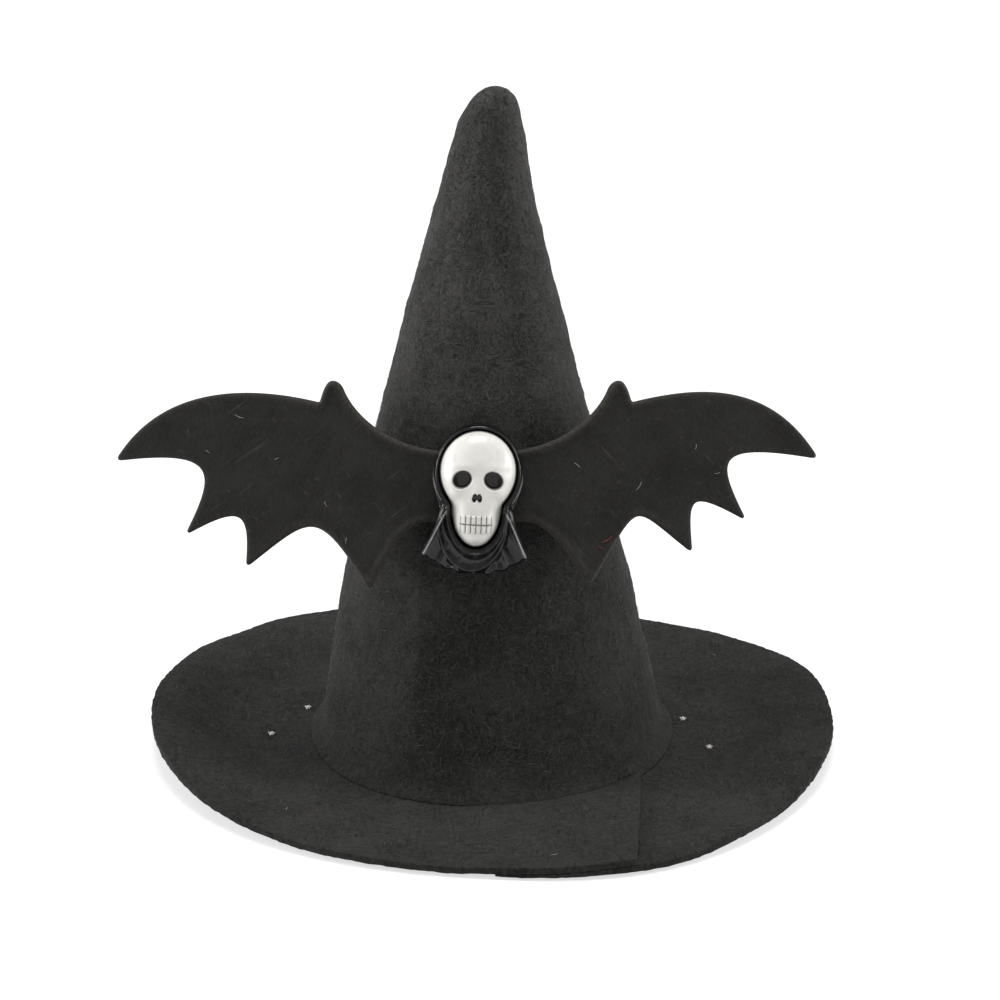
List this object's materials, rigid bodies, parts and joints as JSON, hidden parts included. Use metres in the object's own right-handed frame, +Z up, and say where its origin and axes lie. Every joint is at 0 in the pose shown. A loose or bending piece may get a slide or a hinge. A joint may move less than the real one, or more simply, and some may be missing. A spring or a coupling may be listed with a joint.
{
  "type": "witch hat",
  "caption": "Small pointed felt witch hat with a wide round brim, two spread bat wings that flex at their roots, and a hooded skull charm.",
  "frame": {"origin": "middle of the head opening, on the plane the hat stands on", "axes": "+Z up the crown, -Y out of the hat's front towards the viewer, +X to the viewer's right as the hat is seen from the front"},
  "size_m": [0.1349, 0.1331, 0.1293],
  "materials": {
    "black_felt": "matt needled wool felt with loose surface fibres",
    "brim_felt": "matt pressed wool felt with cut edges",
    "wing_felt": "smooth, dense, stiffened felt",
    "hot_glue": "set translucent glue",
    "thread": "pale twisted thread",
    "black_resin": "glossy cast resin",
    "white_resin": "smooth painted resin, slightly glossy"
  },
  "bodies": {
    "hat": {"crown_felt": "black_felt", "brim_felt": "brim_felt", "crown_foot_glue": "hot_glue", "strap_tack_left_rear": "thread", "strap_tack_left_front": "thread", "strap_tack_right_rear": "thread", "strap_tack_right_front": "thread", "wing_root_left": "wing_felt", "wing_root_right": "wing_felt", "wing_glue_pad": "hot_glue", "charm_glue_pad": "hot_glue", "charm_hood": "black_resin", "charm_skull": "white_resin"},
    "wing_left": {"wing_left": "wing_felt"},
    "wing_right": {"wing_right": "wing_felt"}
  },
  "joints": [
    {"name": "wing_left_flex", "type": "hinge", "parent": "hat", "child": "wing_left", "pos_m": [-0.017, -0.02277, 0.05928], "axis": [0, -0.2432, -0.97], "range_deg": [-35, 30], "stiffness_Nm_per_rad": 0.002},
    {"name": "wing_right_flex", "type": "hinge", "parent": "hat", "child": "wing_right", "pos_m": [0.011, -0.02277, 0.05928], "axis": [0, 0.2432, 0.97], "range_deg": [-35, 30], "stiffness_Nm_per_rad": 0.002}
  ]
}
